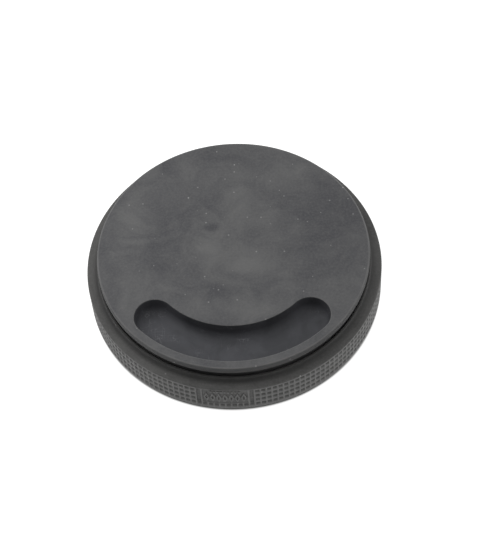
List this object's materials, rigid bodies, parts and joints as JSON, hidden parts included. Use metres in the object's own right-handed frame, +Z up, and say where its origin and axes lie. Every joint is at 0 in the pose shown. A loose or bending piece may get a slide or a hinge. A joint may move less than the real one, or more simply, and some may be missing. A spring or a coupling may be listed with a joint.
{
  "type": "revolving casing cushion",
  "caption": "Round rubber casing cushion for watch repair: a soft disc with a crescent parts tray turns on a weighted grip-edged base.",
  "frame": {"origin": "centre of the underside, on the surface that the foot ring stands on", "axes": "+Z up along the turning axis; the parts tray is centred on -Y at rest, and the grip band's plain panel is 3 degrees from it"},
  "size_m": [0.08, 0.08, 0.016],
  "materials": {
    "pad_rubber": "matt, faintly cloudy",
    "shell_rubber": "matt, moulded grip",
    "foot_rubber": "matt",
    "machined_aluminium": "turned",
    "turned_steel": "turned",
    "bearing_steel": "ground and polished",
    "spring_steel": "blued grey",
    "bronze": "turned",
    "cage_nylon": "natural nylon",
    "black_nylon": "smooth",
    "cover_coating": "black, fine texture"
  },
  "bodies": {
    "base": {"base_core": "turned_steel", "grip_shell": "shell_rubber", "bottom_cover": "cover_coating", "foot_ring": "foot_rubber", "lower_race": "bearing_steel", "centre_bush": "bronze", "thrust_washer": "black_nylon", "wave_washer": "spring_steel", "cover_screw_1": "turned_steel", "cover_screw_2": "turned_steel", "cover_screw_3": "turned_steel", "cover_screw_4": "turned_steel"},
    "turntable": {"cushion_pad": "pad_rubber", "carrier_plate": "machined_aluminium", "upper_race": "bearing_steel", "pivot_bolt": "turned_steel", "retaining_clip": "spring_steel"},
    "bearing_cage": {"ball_cage": "cage_nylon", "bearing_ball_01": "bearing_steel", "bearing_ball_02": "bearing_steel", "bearing_ball_03": "bearing_steel", "bearing_ball_04": "bearing_steel", "bearing_ball_05": "bearing_steel", "bearing_ball_06": "bearing_steel", "bearing_ball_07": "bearing_steel", "bearing_ball_08": "bearing_steel", "bearing_ball_09": "bearing_steel", "bearing_ball_10": "bearing_steel", "bearing_ball_11": "bearing_steel", "bearing_ball_12": "bearing_steel"}
  },
  "joints": [
    {"name": "disc_turn", "type": "hinge", "parent": "base", "child": "turntable", "pos_m": [0, 0, 0], "axis": [0, 0, 1], "continuous": true},
    {"name": "cage_turn", "type": "hinge", "parent": "base", "child": "bearing_cage", "pos_m": [0, 0, 0], "axis": [0, 0, 1], "continuous": true}
  ],
  "couplings": [
    {"joint": "cage_turn", "follows": "disc_turn", "ratio": 0.5}
  ]
}
